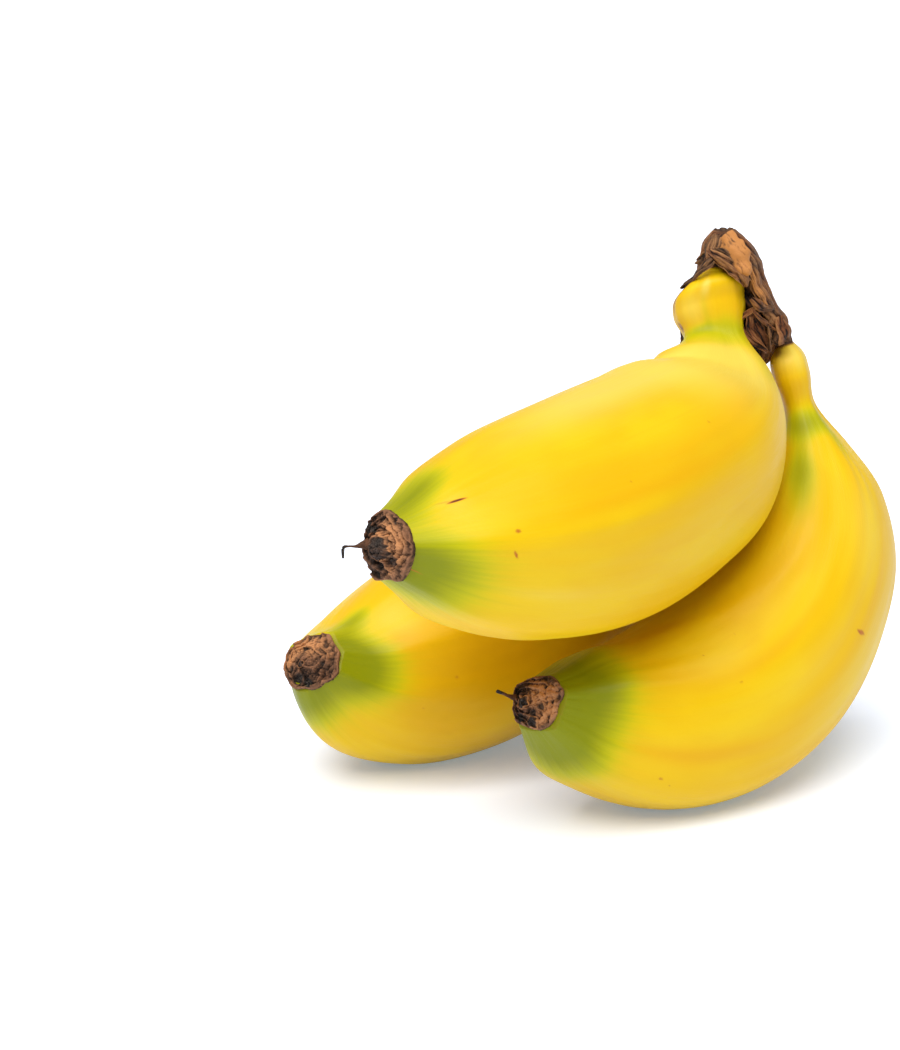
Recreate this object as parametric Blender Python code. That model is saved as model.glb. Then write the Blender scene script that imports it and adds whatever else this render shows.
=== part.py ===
"""A cluster of three small dessert bananas on one dried crown, lying on its two lower fingers.

Every finger is a loft along a spine that bends in one plane: a flattened stalk at the crown, a plump
body with five ridges and a blunt blossom end. The dried flower remains sit on the blossom ends, and the
dried crown holds the three stalks in sockets. The frame is +Z up, with the origin on the ground under
the middle of the whole cluster.
"""
import math

import bmesh
import bpy
import numpy as np
from mathutils import Matrix

MM = 0.001

# Driving dimensions of the fingers, in millimetres and degrees.
# start: middle of the stalk's end, inside the crown. heading: compass angle from +X, and rise.
# roll: turns the plane in which the finger bends. curl, shoulder and beak: the bends along it, with
# nod a bend of the beak out of that plane.
# stalk: girth of the stalk against the other fingers'. flat and flat_turn: how far the stalk is
# flattened, and where its long side points.
# blunt: fullness added near the blossom end. fillet: fullness in the hollow where the stalk bends into
# the body, as a share of the radius. ridges: where each of the five ridges runs, as its angle round the
# finger at the shoulder and at the beak.
FINGERS = {
    "upper": {
        "start": (18.6, 29.9, 82.1), "heading": (-60.3, -60.7), "roll": -195.3,
        "length": 109.4, "radius": 19.6, "curl": 38.6, "shoulder": 59.0, "beak": -2.0, "nod": 0.0,
        "stalk": 1.0, "flat": 0.10, "flat_turn": 40.5, "blunt": 0.016, "fillet": 0.335,
        "ridges": ((18, 17), (75, 78), (133, 136), (190, 195), (262, 255)),
    },
    "right": {
        "start": (33.2, 33.1, 69.6), "heading": (-40.6, -70.9), "roll": -169.1,
        "length": 110.2, "radius": 18.05, "curl": 131.4, "shoulder": 2.0, "beak": -15.1, "nod": -22.0,
        "stalk": 0.82, "flat": 0.30, "flat_turn": 132.0, "blunt": 0.10, "fillet": 0.0,
        "ridges": ((40, 60), (125, 140), (205, 222), (279, 296), (306, 341)),
    },
    "left": {
        "start": (19.7, 34.0, 68.0), "heading": (175.3, -63.9), "roll": 42.0,
        "length": 105.8, "radius": 19.9, "curl": 109.7, "shoulder": -10.7, "beak": 15.2, "nod": 0.0,
        "stalk": 0.9, "flat": 0.15, "flat_turn": 117.5, "blunt": 0.0, "fillet": 0.0,
        "ridges": ((7, 7), (100, 100), (195, 195), (287, 287), (324, 324)),
    },
}
GROUND_FINGERS = ("right", "left")

# Places along a finger, as shares of its length, and the radius there as a share of its largest.
GIRTH_PLACES = (0.0, 0.02, 0.05, 0.10, 0.17, 0.24, 0.32, 0.42, 0.55, 0.68, 0.80, 0.90, 0.96, 1.0)
GIRTH_SHARES = (0.14, 0.265, 0.295, 0.236, 0.45, 0.685, 0.875, 0.95, 0.99, 0.95, 0.825, 0.605, 0.395, 0.27)
BLUNT_PLACE, BLUNT_SPREAD = 0.93, 0.045
FILLET_PLACE, FILLET_WIDTH = 0.13, 46.0
FILLET_BEFORE, FILLET_AFTER = 0.026, 0.085
SHOULDER_PLACE, SHOULDER_SPREAD = 0.20, 0.041
BEAK_PLACE, BEAK_SPREAD = 0.93, 0.029
CURL_FROM = 0.12
STALK_FROM, STALK_UNTIL = 0.07, 0.24

# Height of the five ridges along the finger, as a share of the radius. RIDGE_USUAL: the angle between
# two ridges where all are evenly spaced. RIDGE_ROUND: how rounded their crests are.
RIDGE_USUAL, RIDGE_ROUND = 72.0, 0.35
RIDGE_SHOULDER, RIDGE_BEAK = 0.35, 0.90
RIDGE_PLACES = (0.0, 0.12, 0.30, 0.55, 0.80, 0.95, 1.0)
RIDGE_SHARES = (0.010, 0.040, 0.022, 0.020, 0.026, 0.060, 0.065)
FINGER_SIDES = 30
FINGER_RINGS = 31
END_CROWDING = 0.035
SPINE_STEPS = 81

GROUND_BLOCK = (240.0, 240.0, 60.0)
GAP = 0.3

# Dried flower remains. TIP_RINGS: share of the radius, and height in millimetres, of each ring from
# the peel to the middle. TIP_TURN: where the knob leans, in degrees. TIP_FOLDS: waves round the ring,
# drift from ring to ring, and the way they turn with the knob.
TIP_RADIUS = {"upper": 5.3, "right": 4.5, "left": 4.9}
TIP_TURN = {"upper": 74.0, "right": 90.0, "left": 150.0}
TIP_RINGS = (
    (0.97, 0.0), (1.04, 0.4), (0.99, 1.1), (0.85, 1.8), (0.72, 1.4),
    (0.62, 2.1), (0.47, 1.6), (0.37, 2.3), (0.24, 2.9),
)
TIP_KNOB_LEAN, TIP_KNOB_FROM = 0.22, 0.3
TIP_SIDES = 30
TIP_CORNERS = 0.06
TIP_FOLDS = ((7, 2.1, 1.0), (11, 1.3, -1.0))
TIP_CREASE, TIP_RAGGED = 0.035, 0.175
WHISKER_LENGTH = {"upper": 5.4, "right": 5.2}
WHISKER_ROOT = (2.0, 1.6)
WHISKER_THICK, WHISKER_THIN = 0.64, 0.36
WHISKER_BEND = 0.25
WHISKER_SIDES, WHISKER_RINGS = 6, 6

# Crown: height of each section above the ground, middle, half width, depth to the front and to the
# back, all in millimetres. The back is the flat face where the cluster was cut from the stem.
CROWN_SECTIONS = (
    (66.0, 25.2, 31.5, 4.8, 3.5, 4.0),
    (68.0, 25.0, 31.8, 8.6, 5.9, 6.0),
    (72.0, 24.7, 32.1, 9.7, 7.2, 7.0),
    (77.0, 24.2, 32.2, 7.2, 8.0, 7.4),
    (81.5, 23.5, 31.6, 5.9, 7.6, 7.6),
    (85.0, 23.4, 30.0, 5.0, 6.6, 7.2),
    (88.5, 22.7, 29.4, 3.4, 5.0, 5.6),
    (90.3, 22.4, 29.4, 1.9, 3.0, 3.2),
)
CROWN_SIDES = 48
CROWN_RINGS = 20
# Long folds of the crown's skin: how many go round, their height as a share, and their drift.
CROWN_FOLDS = ((7, 0.050, 1.9), (12, 0.035, -2.6), (19, 0.020, 3.7))
CROWN_BACK_SQUARE, CROWN_SIDE_SQUARE = 0.62, 0.77
SOCKET_DEPTH, SOCKET_RINGS = 0.32, 12
# Torn leaves of dried skin on the crown: middle, half sizes and turn about X, Y and Z.
CROWN_LEAVES = (
    ((24.1, 24.8, 86.6), (2.2, 0.9, 3.6), (20.0, -30.0, 8.0)),
    ((17.6, 32.4, 80.4), (1.8, 2.6, 5.2), (0.0, 27.0, 0.0)),
    ((28.0, 25.8, 73.4), (2.3, 2.2, 4.8), (8.0, -25.0, 10.0)),
)

PEEL_COLOUR = (0.86, 0.56, 0.02)
CROWN_COLOUR = (0.12, 0.055, 0.025)
TIP_COLOUR = (0.10, 0.05, 0.03)


def clear_scene():
    """Start from an empty scene."""
    for item in list(bpy.data.objects):
        bpy.data.objects.remove(item, do_unlink=True)


def new_collection(name):
    """Make a collection in the scene."""
    collection = bpy.data.collections.new(name)
    bpy.context.scene.collection.children.link(collection)
    return collection


def make_material(name, colour, roughness):
    """A plain Principled BSDF material."""
    material = bpy.data.materials.new(name)
    material.use_nodes = True
    shader = material.node_tree.nodes["Principled BSDF"]
    shader.inputs["Base Color"].default_value = (*colour, 1.0)
    shader.inputs["Roughness"].default_value = roughness
    shader.inputs["Metallic"].default_value = 0.0
    return material


def smooth_curve(places, values, at):
    """Read a smooth curve through the given values: Hermite pieces with slopes of their neighbours."""
    places = np.asarray(places, dtype=float)
    values = np.asarray(values, dtype=float)
    slopes = np.gradient(values, places, axis=0)
    piece = np.clip(np.searchsorted(places, at, side="right") - 1, 0, len(places) - 2)
    width = places[piece + 1] - places[piece]
    t = (at - places[piece]) / width
    if values.ndim == 2:
        t, width = t[:, None], width[:, None]
    rise = t * t * (3 - 2 * t)
    leave = t * (1 - t) ** 2 * width
    arrive = t * t * (t - 1) * width
    return (values[piece] * (1 - rise) + values[piece + 1] * rise
            + slopes[piece] * leave + slopes[piece + 1] * arrive)


def soft_step(along, middle, spread):
    """A smooth step from 0 at the start of the finger, centred on middle."""
    def rise(value):
        return 1 / (1 + np.exp((middle - value) / spread))
    return rise(along) - rise(0.0)


def finger_spine(finger, along):
    """Middle line of a finger: points, directions and the two cross directions at each place.

    The direction turns in one plane by a steady curl, a bend at the shoulder and a bend at the beak,
    and out of that plane by the nod. The points are the running sum of the directions.
    """
    turn, rise = np.radians(finger["heading"])
    ahead = np.array([math.cos(rise) * math.cos(turn), math.cos(rise) * math.sin(turn), math.sin(rise)])
    level = np.array([-math.sin(turn), math.cos(turn), 0.0])
    roll = math.radians(finger["roll"])
    inward = math.cos(roll) * level + math.sin(roll) * np.cross(ahead, level)
    side = np.cross(ahead, inward)
    angle = np.radians(
        finger["curl"] * np.clip((along - CURL_FROM) / (1 - CURL_FROM), 0, 1)
        + finger["shoulder"] * soft_step(along, SHOULDER_PLACE, SHOULDER_SPREAD)
        + finger["beak"] * soft_step(along, BEAK_PLACE, BEAK_SPREAD))
    nod = np.radians(finger["nod"] * soft_step(along, BEAK_PLACE, BEAK_SPREAD))[:, None]
    bent = np.cos(angle)[:, None] * ahead + np.sin(angle)[:, None] * inward
    across = np.cos(angle)[:, None] * inward - np.sin(angle)[:, None] * ahead
    direction = np.cos(nod) * bent + np.sin(nod) * side
    sideways = np.cos(nod) * side - np.sin(nod) * bent
    steps = np.diff(along)[:, None] * finger["length"] * (direction[1:] + direction[:-1]) / 2
    points = np.array(finger["start"]) + np.vstack([np.zeros(3), np.cumsum(steps, axis=0)])
    return points, direction, across, sideways


def ridge_relief(finger, along, around):
    """Height of the ridges over the mean of each ring, 1 on a ridge and lower the wider a face is.

    Across the face between two ridges it falls and rises again as a rounded sine.
    """
    shift = np.clip((along - RIDGE_SHOULDER) / (RIDGE_BEAK - RIDGE_SHOULDER), 0, 1)[:, None]
    at_shoulder, at_beak = np.array(finger["ridges"], dtype=float).T
    ridges = at_shoulder + shift * (at_beak - at_shoulder)
    widths = (np.roll(ridges, -1, axis=1) - ridges) % 360
    relief = np.zeros((len(along), len(around)))
    full = math.hypot(1, RIDGE_ROUND) - RIDGE_ROUND
    for ridge, width in zip(ridges.T[:, :, None], widths.T[:, :, None]):
        turned = (np.degrees(around)[None, :] - ridge) % 360
        dip = (np.hypot(np.sin(math.pi * turned / width), RIDGE_ROUND) - RIDGE_ROUND) / full
        relief = np.where(turned < width, 1 - 2 * dip * width / RIDGE_USUAL, relief)
    return relief - relief.mean(axis=1, keepdims=True)


def finger_radius(finger, along, around):
    """Radius of the peel on the grid of places along and angles around, in millimetres."""
    girth = smooth_curve(GIRTH_PLACES, GIRTH_SHARES, along)
    girth = girth * (1 + finger["blunt"] * np.exp(-((along - BLUNT_PLACE) / BLUNT_SPREAD) ** 2))
    ridge = smooth_curve(RIDGE_PLACES, RIDGE_SHARES, along)
    fade = np.clip((along - STALK_FROM) / (STALK_UNTIL - STALK_FROM), 0, 1)
    stalk = 1 - fade * fade * (3 - 2 * fade)
    girth = girth * (1 - (1 - finger["stalk"]) * stalk)
    flat = finger["flat"] * stalk
    oval = np.cos(2 * (around - math.radians(finger["flat_turn"])))
    inside = (np.degrees(around) + 180) % 360 - 180
    spread = np.where(along < FILLET_PLACE, FILLET_BEFORE, FILLET_AFTER)
    fillet = finger["fillet"] * np.exp(-((along - FILLET_PLACE) / spread) ** 2)[:, None] * (
        np.exp(-(inside / FILLET_WIDTH) ** 2)[None, :])
    relief = ridge[:, None] * ridge_relief(finger, along, around)
    return finger["radius"] * (girth[:, None] * (1 + relief + flat[:, None] * oval[None, :]) + fillet)


def finger_grid(finger, along, sides, grow=0.0):
    """Points of the peel, or of a surface that stands off it: one ring for each place along."""
    around = np.linspace(0, 2 * math.pi, sides, endpoint=False)
    points, _, across, side = finger_spine(finger, along)
    radius = finger_radius(finger, along, around) + grow
    ring = (np.cos(around)[None, :, None] * across[:, None, :]
            + np.sin(around)[None, :, None] * side[:, None, :])
    return points[:, None, :] + radius[:, :, None] * ring


def loft(name, grid, collection, material=None):
    """Close a grid of rings into one solid: quads between rings, and a fan at each end."""
    rings, sides = grid.shape[:2]
    mesh = bpy.data.meshes.new(name)
    shape = bmesh.new()
    rows = [[shape.verts.new(point * MM) for point in ring] for ring in grid]
    for low, high in zip(rows[:-1], rows[1:]):
        for index in range(sides):
            after = (index + 1) % sides
            shape.faces.new((low[index], low[after], high[after], high[index]))
    for row, points in ((rows[0], grid[0]), (rows[-1], grid[-1])):
        middle = shape.verts.new(points.mean(axis=0) * MM)
        for index in range(sides):
            shape.faces.new((row[index], row[(index + 1) % sides], middle))
    bmesh.ops.recalc_face_normals(shape, faces=shape.faces)
    bmesh.ops.triangulate(shape, faces=shape.faces)
    shape.to_mesh(mesh)
    shape.free()
    mesh.shade_smooth()
    item = bpy.data.objects.new(name, mesh)
    collection.objects.link(item)
    if material:
        mesh.materials.append(material)
    return item


def hide_cutter(item):
    """Show a cutter as wire and keep it out of the model."""
    item.display_type = "WIRE"
    item.hide_render = True


def add_boolean(item, operation, other):
    """Cut or join one solid with another, which stays as a hidden cutter."""
    modifier = item.modifiers.new(operation.title() + " " + other.name, "BOOLEAN")
    modifier.operation = operation
    modifier.solver = "EXACT"
    modifier.object = other
    hide_cutter(other)


def ground_cutter(collection):
    """The block below the ground that shears the small flat spots off the two lower fingers."""
    bpy.ops.mesh.primitive_cube_add(size=1.0)
    block = bpy.context.active_object
    block.name = "ground_cutter"
    width, depth, height = (value * MM for value in GROUND_BLOCK)
    lower = Matrix.Translation((0, 0, -height / 2))
    block.data.transform(lower @ Matrix.Diagonal((width, depth, height, 1)))
    for owner in list(block.users_collection):
        owner.objects.unlink(block)
    collection.objects.link(block)
    return block


def finger_places(last, count):
    """Places along a finger from its stalk to last, closer together at both ends."""
    even = np.linspace(0, 1, count)
    return last * (even - END_CROWDING * np.sin(2 * math.pi * even))


def build_finger(name, finger, parts, material):
    """One banana finger: stalk, body and blossom end in one solid."""
    grid = finger_grid(finger, finger_places(1.0, FINGER_RINGS), FINGER_SIDES)
    return loft("finger_" + name, grid, parts, material)


def tip_frame(finger):
    """The middle of the blossom end and the three directions of the finger there."""
    points, direction, across, side = finger_spine(finger, np.linspace(0, 1, SPINE_STEPS))
    return points[-1], direction[-1], across[-1], side[-1]


def ring_of_points(radius, around, across, side):
    """Points round a middle, given by their radius at each angle in the plane of across and side."""
    return radius[..., None] * (np.cos(around)[:, None] * across + np.sin(around)[:, None] * side)


def build_tip(name, finger, parts, cutters, material):
    """The dried flower remains on a blossom end: folded scales round an off-centre knob.

    Each ring is a rounded five-cornered outline, creased and made ragged by waves that shift from
    ring to ring, and the inner rings lean to one side.
    """
    middle, ahead, across, side = tip_frame(finger)
    around = np.linspace(0, 2 * math.pi, TIP_SIDES, endpoint=False)
    turn = math.radians(TIP_TURN[name])
    lean = TIP_KNOB_LEAN * TIP_RADIUS[name] * (math.cos(turn) * across + math.sin(turn) * side)
    corners = ridge_relief(finger, np.array([1.0]), around)[0]
    rings = []
    for index, (share, height) in enumerate(TIP_RINGS):
        inner = index / (len(TIP_RINGS) - 1)
        folds = sum(np.cos(waves * around + way * turn + drift * index)
                    for waves, drift, way in TIP_FOLDS)
        crease = min(index, 1) * TIP_CREASE * folds / len(TIP_FOLDS)
        radius = TIP_RADIUS[name] * (share * (1 + TIP_CORNERS * (1 - inner) * corners) + crease)
        lift = GAP + height + min(max(index - 1, 0), 1) * TIP_RAGGED * (1 - inner / 2) * folds
        centre = middle + max(0.0, inner - TIP_KNOB_FROM) * lean
        rings.append(centre + ring_of_points(radius, around, across, side) + lift[:, None] * ahead)
    tip = loft("blossom_tip_" + name, np.array(rings), parts, material)
    if name in WHISKER_LENGTH:
        add_boolean(tip, "UNION", build_whisker(name, finger, cutters))
    return tip


def build_whisker(name, finger, cutters):
    """The dried style: a thin thread that tapers and bends as it leaves the knob."""
    middle, ahead, across, side = tip_frame(finger)
    turn = math.radians(TIP_TURN[name])
    aside = math.cos(turn) * across + math.sin(turn) * side
    along = np.linspace(0, 1, WHISKER_RINGS)[:, None]
    root = middle + WHISKER_ROOT[0] * ahead + WHISKER_ROOT[1] * aside
    path = root + WHISKER_LENGTH[name] * (along * ahead + WHISKER_BEND * along ** 2 * aside)
    around = np.linspace(0, 2 * math.pi, WHISKER_SIDES, endpoint=False)
    radius = (WHISKER_THICK + (WHISKER_THIN - WHISKER_THICK) * along) * np.ones(WHISKER_SIDES)
    grid = path[:, None, :] + ring_of_points(radius, around, across, side)
    return loft("whisker_" + name, grid, cutters)


def build_crown_body(collection, material):
    """The dried crown: a thick pad with long folds of skin, rounded in front and flat at the back."""
    table = np.array(CROWN_SECTIONS)
    heights = np.linspace(table[0, 0], table[-1, 0], CROWN_RINGS)
    middle_x, middle_y, width, front, back = (smooth_curve(table[:, 0], table[:, 1:], heights)).T
    around = np.linspace(0, 2 * math.pi, CROWN_SIDES, endpoint=False)
    share = ((heights - heights[0]) / (heights[-1] - heights[0]))[:, None]
    fold = np.ones((CROWN_RINGS, CROWN_SIDES))
    for count, depth, drift in CROWN_FOLDS:
        fold += depth * np.cos(count * around[None, :] + drift * np.sin(math.pi * share) + count)
    forward = np.sin(around)
    depth = np.where(forward[None, :] < 0, front[:, None], back[:, None])
    out_x = np.cos(around)
    out_x = np.sign(out_x) * np.abs(out_x) ** np.where(forward < 0, 1.0, CROWN_SIDE_SQUARE)
    out_y = np.sign(forward) * np.abs(forward) ** np.where(forward < 0, 1.0, CROWN_BACK_SQUARE)
    grid = np.stack([
        middle_x[:, None] + width[:, None] * fold * out_x,
        middle_y[:, None] + depth * fold * out_y,
        np.broadcast_to(heights[:, None], fold.shape),
    ], axis=2)
    return loft("crown", grid, collection, material)


def build_crown_leaf(index, leaf, collection):
    """A torn leaf of dried skin: a squashed ball, turned to lie on the crown."""
    middle, half, turns = leaf
    bpy.ops.mesh.primitive_uv_sphere_add(segments=12, ring_count=8, radius=1.0)
    item = bpy.context.active_object
    item.name = "crown_leaf_{}".format(index)
    item.scale = [value * MM for value in half]
    item.rotation_euler = [math.radians(value) for value in turns]
    item.location = [value * MM for value in middle]
    for owner in list(item.users_collection):
        owner.objects.unlink(item)
    collection.objects.link(item)
    return item


def build_crown(parts, cutters, material):
    """The crown with its torn leaves, and a socket for each stalk."""
    crown = build_crown_body(parts, material)
    for index, leaf in enumerate(CROWN_LEAVES):
        add_boolean(crown, "UNION", build_crown_leaf(index, leaf, cutters))
    for name, finger in FINGERS.items():
        reach = finger_places(SOCKET_DEPTH, SOCKET_RINGS)
        stalk = finger_grid(finger, reach, FINGER_SIDES, GAP)
        _, direction, _, _ = finger_spine(finger, reach)
        socket = np.concatenate([stalk[:1] - GAP * direction[0], stalk])
        add_boolean(crown, "DIFFERENCE", loft("socket_" + name, socket, cutters))
    return crown


def build_cluster():
    """The whole cluster."""
    clear_scene()
    parts = new_collection("banana_cluster")
    cutters = new_collection("cutters")
    peel = make_material("peel", PEEL_COLOUR, 0.42)
    dry_crown = make_material("dry_crown", CROWN_COLOUR, 0.8)
    dry_tip = make_material("dry_tip", TIP_COLOUR, 0.85)
    block = ground_cutter(cutters)
    for name, finger in FINGERS.items():
        item = build_finger(name, finger, parts, peel)
        if name in GROUND_FINGERS:
            add_boolean(item, "DIFFERENCE", block)
        build_tip(name, finger, parts, cutters, dry_tip)
    build_crown(parts, cutters, dry_crown)


build_cluster()
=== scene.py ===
import math

import bpy
import numpy as np
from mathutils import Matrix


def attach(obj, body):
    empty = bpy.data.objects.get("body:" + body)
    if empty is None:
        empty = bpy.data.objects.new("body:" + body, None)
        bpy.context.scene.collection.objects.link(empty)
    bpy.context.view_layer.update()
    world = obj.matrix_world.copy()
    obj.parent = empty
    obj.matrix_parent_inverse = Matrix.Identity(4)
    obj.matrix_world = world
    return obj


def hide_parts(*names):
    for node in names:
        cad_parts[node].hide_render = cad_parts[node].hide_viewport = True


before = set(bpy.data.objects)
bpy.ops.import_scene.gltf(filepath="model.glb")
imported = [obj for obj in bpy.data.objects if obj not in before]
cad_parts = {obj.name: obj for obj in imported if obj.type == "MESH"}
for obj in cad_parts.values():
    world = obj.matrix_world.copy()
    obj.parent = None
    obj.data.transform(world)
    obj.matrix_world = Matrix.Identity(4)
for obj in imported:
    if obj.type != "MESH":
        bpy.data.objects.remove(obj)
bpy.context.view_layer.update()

# Peel of the three fingers. One smooth waxy skin each, from the stalk in the crown to the blossom
# end: bent along one plane, with five soft ridges and a small flat spot where it lies on the ground.
# It grew as one piece, yellow with a green band at the neck and green streaks at the blossom end.

# "start" is the middle of the stalk's end, "heading" and "roll" the way it sets out and the turn of its
# bending plane, "curl", "shoulder", "beak" and "nod" its bends in degrees. "length" and "radius" are in
# millimetres. "stalk" is the stalk's share of the usual girth, "flat" and "flat_turn" how oval it is and
# which way. "blunt" and "fillet" add fullness before the blossom end and in the bend under the stalk, and
# "nudge" moves the stalk's end up under the dry lip. "ridges": each one's angle at shoulder and beak.
# The four lists of soft patches are green skin; paler yellow, which is painted highlight and painted
# reflection, besides the pale tan top of the right finger's neck; deeper yellow, which is painted shade;
# and dead brown skin.
# Each patch is place along, angle round, spread along, spread round and strength.
# "marks": scars and specks, as place along, angle round, half length, half width, lean and darkness.
# The dimensions of the fingers and GIRTH_SHARES come from a least-squares fit to the outline read from the
# photograph. They were rounded, and the starts, the lengths and the ends of the girth adjusted after it.
FINGERS = {
    "upper": {
        "start": (18.6, 29.9, 82.1), "heading": (-60.3, -60.7), "roll": -195.3, "length": 109.4,
        "radius": 19.6, "curl": 38.6, "shoulder": 59.0, "beak": -2.0, "nod": 0.0, "stalk": 1.0,
        "flat": 0.10, "flat_turn": 40.5, "blunt": 0.016, "fillet": 0.335, "nudge": (1.2, -2.2, 0.9),
        "ridges": ((18, 17), (75, 78), (133, 136), (190, 195), (262, 255)),
        "greens": (
            (0.93, 345, 0.055, 24, 0.75), (1.00, 228, 0.105, 38, 1.3), (1.00, 315, 0.060, 50, 0.75),
            (1.00, 175, 0.075, 35, 0.95), (1.00, 60, 0.07, 70, 0.9), (0.100, 280, 0.017, 75, 0.58),
            (0.088, 345, 0.010, 30, 0.45), (0.100, 90, 0.020, 90, 0.8), (0.055, 327, 0.03, 10, 0.30),
            (0.17, 262, 0.05, 14, 0.38), (0.122, 300, 0.014, 60, 0.35), (0.08, 290, 0.015, 40, 0.30),
        ),
        # Paler yellow: painted highlights on the upper faces and painted reflections of the floor on the
        # lower ones.
        "pale_tan_and_highlights": (
            (0.18, 300, 0.07, 60, 1.1), (0.30, 325, 0.12, 46, 0.8), (0.05, 350, 0.03, 30, 0.6),
            (0.45, 345, 0.22, 20, 0.85), (0.62, 330, 0.22, 22, 0.45), (0.022, 322, 0.014, 9, 0.9),
            (0.33, 240, 0.12, 16, 0.25), (0.45, 222, 0.2, 9, 0.2), (0.93, 300, 0.03, 22, 0.35),
            (0.80, 220, 0.10, 7, 0.4),
        ),
        # Deeper yellow: painted shade where less light falls.
        "painted_shades": (
            (0.52, 280, 0.20, 12, 0.55), (0.72, 282, 0.12, 16, 0.45), (0.35, 285, 0.06, 14, 0.3),
            (0.58, 268, 0.26, 5, 0.5), (0.04, 285, 0.03, 24, 0.5), (0.55, 200, 0.3, 14, 0.4),
        ),
        "dries": (
            (0.0, 26, 0.020, 15, 0.65), (0.03, 30, 0.03, 9, 0.5), (0.075, 26, 0.01, 8, 0.6),
            (0.0, 100, 0.02, 50, 1.0), (1.0, 0, 0.003, 900, 0.25),
        ),
        "marks": (
            (0.921, 301, 1.5, 0.42, 20, 1.0), (0.935, 306, 2.4, 0.4, 35, 0.3),
            (0.867, 262, 0.5, 0.45, 0, 0.6), (0.871, 247, 0.9, 0.25, 65, 0.7),
            (0.99, 214, 1.7, 0.22, 15, 0.7), (0.44, 286, 0.35, 0.3, 0, 0.45),
            (0.66, 275, 0.3, 0.3, 0, 0.4),
        ),
    },
    "right": {
        "start": (33.2, 33.1, 69.6), "heading": (-40.6, -70.9), "roll": -169.1, "length": 110.2,
        "radius": 18.05, "curl": 131.4, "shoulder": 2.0, "beak": -15.1, "nod": -22.0, "stalk": 0.82,
        "flat": 0.30, "flat_turn": 132.0, "blunt": 0.10, "fillet": 0.0, "nudge": (0, 0, 0),
        "ridges": ((40, 60), (125, 140), (205, 222), (279, 296), (306, 341)),
        "greens": (
            (1.00, 288, 0.105, 52, 1.4), (1.00, 215, 0.085, 45, 1.15), (0.98, 170, 0.07, 40, 0.95),
            (1.00, 20, 0.09, 70, 1.1), (1.00, 100, 0.06, 60, 0.8), (0.128, 300, 0.028, 55, 0.85),
            # The patches at 320 and 316 degrees are part green skin and part painted shade, where the upper
            # finger shades this one.
            (0.17, 262, 0.03, 16, 0.45), (0.20, 320, 0.055, 18, 0.6), (0.27, 316, 0.08, 14, 0.5),
            (0.12, 90, 0.03, 90, 0.7),
        ),
        "pale_tan_and_highlights": (
            (0.02, 270, 0.028, 70, 1.0), (0.30, 268, 0.10, 22, 0.5), (0.72, 298, 0.10, 16, 0.35),
            (0.17, 235, 0.05, 20, 0.5), (0.45, 232, 0.2, 14, 0.45), (0.93, 262, 0.03, 4, 0.5),
            (0.55, 268, 0.15, 12, 0.3),
        ),
        "painted_shades": (
            (0.55, 316, 0.22, 12, 0.5), (0.78, 244, 0.14, 8, 0.75), (0.62, 288, 0.2, 5, 0.6),
            (0.07, 300, 0.03, 30, 0.5), (0.40, 252, 0.14, 6, 0.5),
        ),
        "dries": (
            (0.0, 270, 0.004, 90, 0.9), (0.012, 330, 0.008, 14, 0.35), (0.0, 90, 0.02, 90, 1.0),
            (1.0, 0, 0.003, 900, 0.25),
        ),
        "marks": (
            (0.458, 253, 1.0, 0.3, 80, 0.9), (0.825, 226, 0.45, 0.3, 0, 0.5),
            (0.70, 283, 0.35, 0.3, 0, 0.45), (0.81, 222, 0.3, 0.25, 0, 0.4),
            (0.74, 306, 0.35, 0.25, 20, 0.45), (0.65, 309, 0.3, 0.25, 0, 0.4),
        ),
    },
    "left": {
        "start": (19.7, 34.0, 68.0), "heading": (175.3, -63.9), "roll": 42.0, "length": 105.8,
        "radius": 19.9, "curl": 109.7, "shoulder": -10.7, "beak": 15.2, "nod": 0.0, "stalk": 0.9,
        "flat": 0.15, "flat_turn": 117.5, "blunt": 0.0, "fillet": 0.0, "nudge": (0, 0, 0),
        "ridges": ((7, 7), (100, 100), (195, 195), (287, 287), (324, 324)),
        "greens": (
            (0.985, 303, 0.085, 30, 1.4), (1.00, 345, 0.065, 30, 1.0), (0.94, 16, 0.045, 14, 0.65),
            (1.00, 240, 0.055, 50, 1.15), (0.99, 180, 0.06, 40, 0.9), (1.00, 100, 0.06, 70, 0.8),
            (0.13, 200, 0.03, 160, 0.8),
        ),
        "pale_tan_and_highlights": ((0.88, 350, 0.06, 25, 0.4), (0.80, 285, 0.1, 10, 0.25)),
        "painted_shades": ((0.72, 310, 0.2, 30, 0.9), (0.82, 260, 0.12, 25, 0.5), (0.90, 330, 0.03, 14, 0.6)),
        "dries": ((0.0, 180, 0.02, 180, 1.0), (1.0, 0, 0.003, 900, 0.25)),
        "marks": ((0.80, 300, 0.5, 0.4, 0, 0.4), (0.86, 281, 0.3, 0.25, 0, 0.4)),
    },
}
GIRTH_PLACES = (0.0, 0.02, 0.05, 0.10, 0.17, 0.24, 0.32, 0.42, 0.55, 0.68, 0.80, 0.90, 0.96, 1.0)
GIRTH_SHARES = (0.14, 0.265, 0.295, 0.236, 0.45, 0.685, 0.875, 0.95, 0.99, 0.95, 0.825, 0.605, 0.395, 0.27)
BLUNT_PLACE, BLUNT_SPREAD = 0.93, 0.045
FILLET_PLACE, FILLET_WIDTH = 0.13, 46.0
FILLET_BEFORE, FILLET_AFTER = 0.026, 0.085
SHOULDER_PLACE, SHOULDER_SPREAD = 0.20, 0.041
BEAK_PLACE, BEAK_SPREAD = 0.93, 0.029
CURL_FROM = 0.12
STALK_FROM, STALK_UNTIL = 0.07, 0.24
RIDGE_USUAL, RIDGE_ROUND = 72.0, 0.22
RIDGE_SHOULDER, RIDGE_BEAK = 0.35, 0.90
RIDGE_PLACES = (0.0, 0.12, 0.30, 0.55, 0.80, 0.95, 1.0)
RIDGE_SHARES = (0.010, 0.040, 0.022, 0.020, 0.026, 0.060, 0.065)
PEEL_RINGS, PEEL_SIDES, END_RINGS = 290, 300, 12
RING_CROWDING = 0.035
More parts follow.
